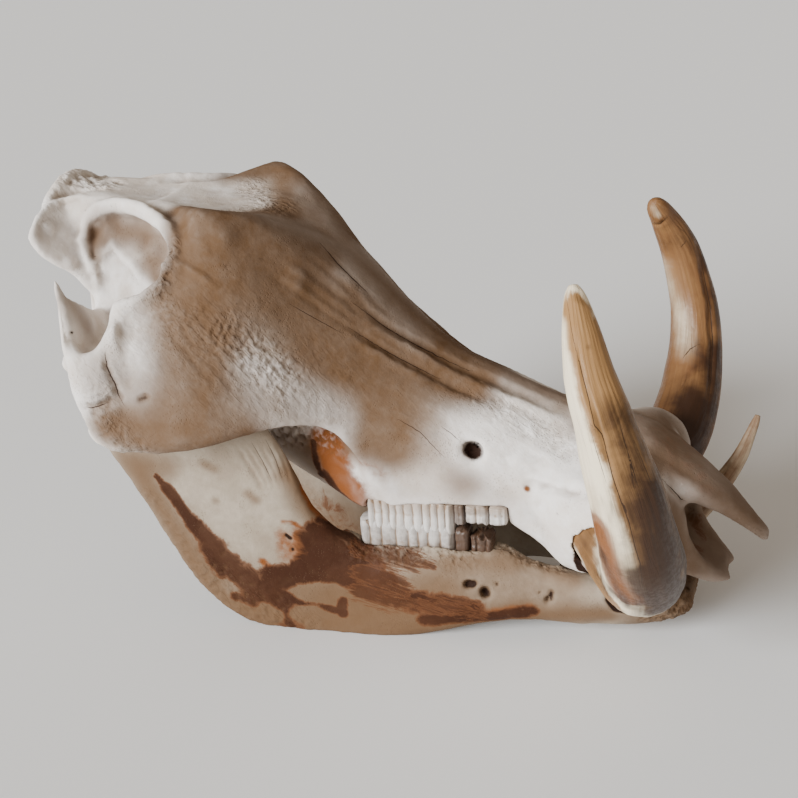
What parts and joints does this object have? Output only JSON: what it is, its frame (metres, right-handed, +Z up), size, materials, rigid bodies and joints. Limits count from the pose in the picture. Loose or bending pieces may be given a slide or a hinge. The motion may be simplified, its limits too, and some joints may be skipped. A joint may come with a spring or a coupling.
{
  "type": "warthog skull",
  "caption": "Dry warthog skull resting on its lower jaw, with curved upper tusks, slender lower tusks, worn cheek teeth and a long tapering snout.",
  "frame": {"origin": "centre of the overall box, at the height of the surface the jaw rests on", "axes": "+X towards the tip of the nose, +Y towards the animal's left, +Z up"},
  "size_m": [0.4027, 0.2958, 0.2517],
  "materials": {
    "cranium_bone": "dry, chalky off-white bone with brown shading",
    "jaw_bone": "dry bone with reddish-brown stains",
    "tusk_ivory": "polished ivory, cream to honey, dark at the base",
    "lower_tusk_ivory": "brown worn ivory",
    "tooth_enamel": "worn enamel with brown in the grooves"
  },
  "bodies": {
    "root": {"cranium": "cranium_bone", "mandible": "jaw_bone", "upper_tusk_right": "tusk_ivory", "upper_tusk_left": "tusk_ivory", "lower_tusk_right": "lower_tusk_ivory", "lower_tusk_left": "lower_tusk_ivory", "upper_right_third_molar": "tooth_enamel", "upper_right_second_molar": "tooth_enamel", "upper_right_first_molar": "tooth_enamel", "upper_right_premolar": "tooth_enamel", "upper_left_third_molar": "tooth_enamel", "upper_left_second_molar": "tooth_enamel", "upper_left_first_molar": "tooth_enamel", "upper_left_premolar": "tooth_enamel", "lower_right_third_molar": "tooth_enamel", "lower_right_second_molar": "tooth_enamel", "lower_right_first_molar": "tooth_enamel", "lower_left_third_molar": "tooth_enamel", "lower_left_second_molar": "tooth_enamel", "lower_left_first_molar": "tooth_enamel"}
  },
  "joints": []
}
